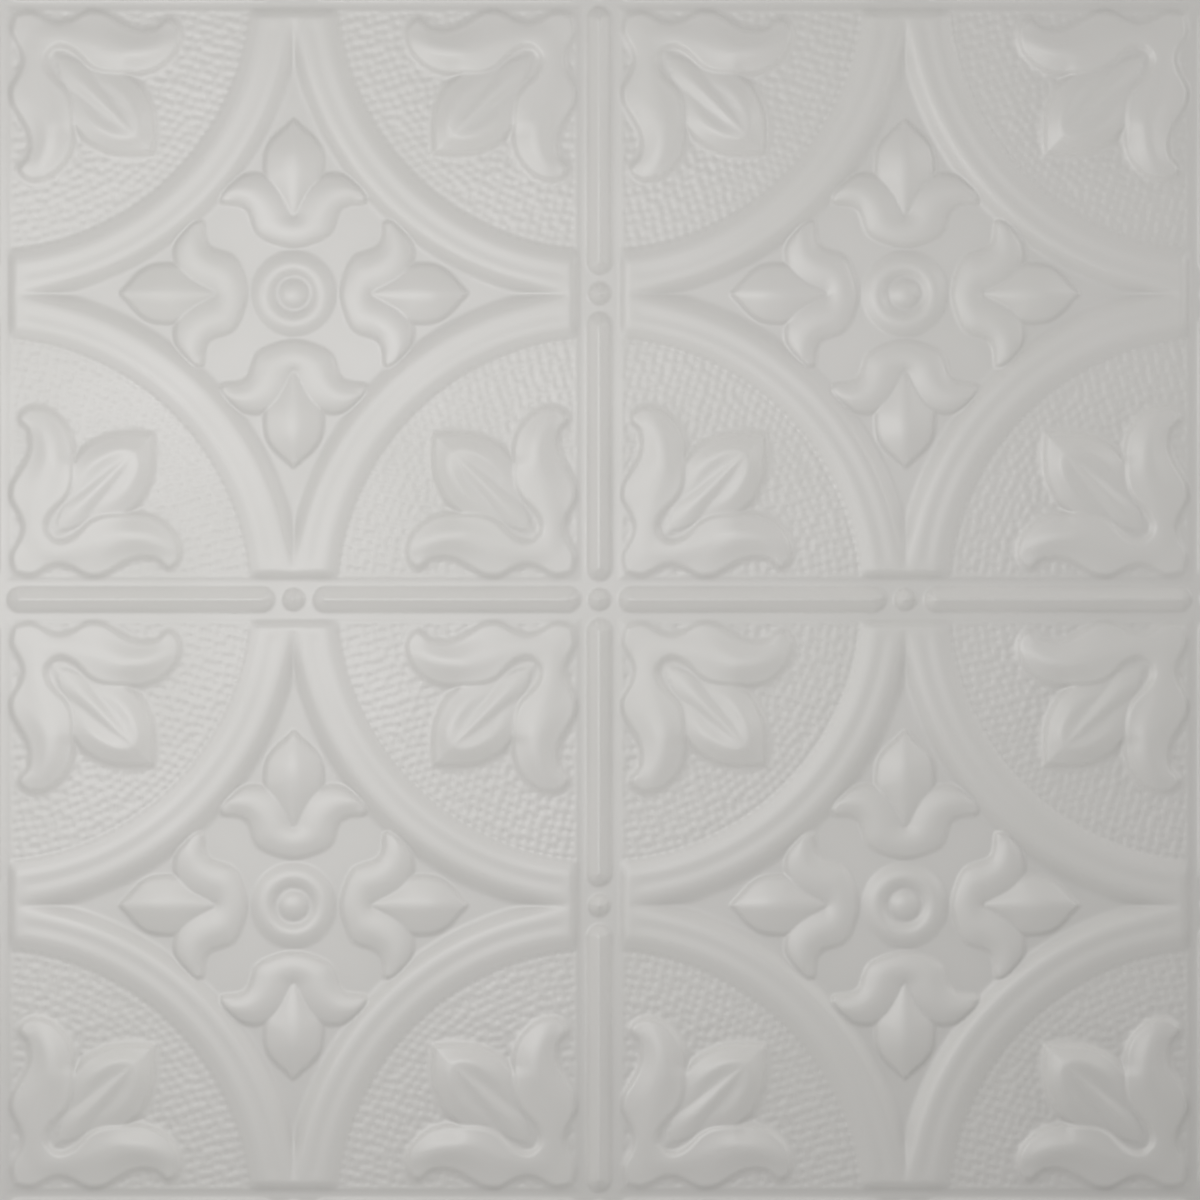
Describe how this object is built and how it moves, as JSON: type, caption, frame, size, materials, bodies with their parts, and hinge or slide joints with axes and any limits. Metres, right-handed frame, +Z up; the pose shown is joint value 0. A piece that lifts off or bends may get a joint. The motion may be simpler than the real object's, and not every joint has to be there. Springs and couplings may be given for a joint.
{
  "type": "pressed tin ceiling tile",
  "caption": "Thin square ceiling tile pressed in one sheet of painted steel: arches, fleurs, corner leaves and rosettes in relief, with beaded margins.",
  "frame": {"origin": "middle of the tile in plan, at the height of its lowest face, the flat back of the sunk fields that it rests on", "axes": "+Z up out of the relief side; +X and +Y along the sides, which are alike"},
  "size_m": [0.6288, 0.6288, 0.0063],
  "materials": {
    "painted_tinplate": "satin off-white paint"
  },
  "bodies": {
    "root": {"pressed_sheet": "painted_tinplate"}
  },
  "joints": []
}
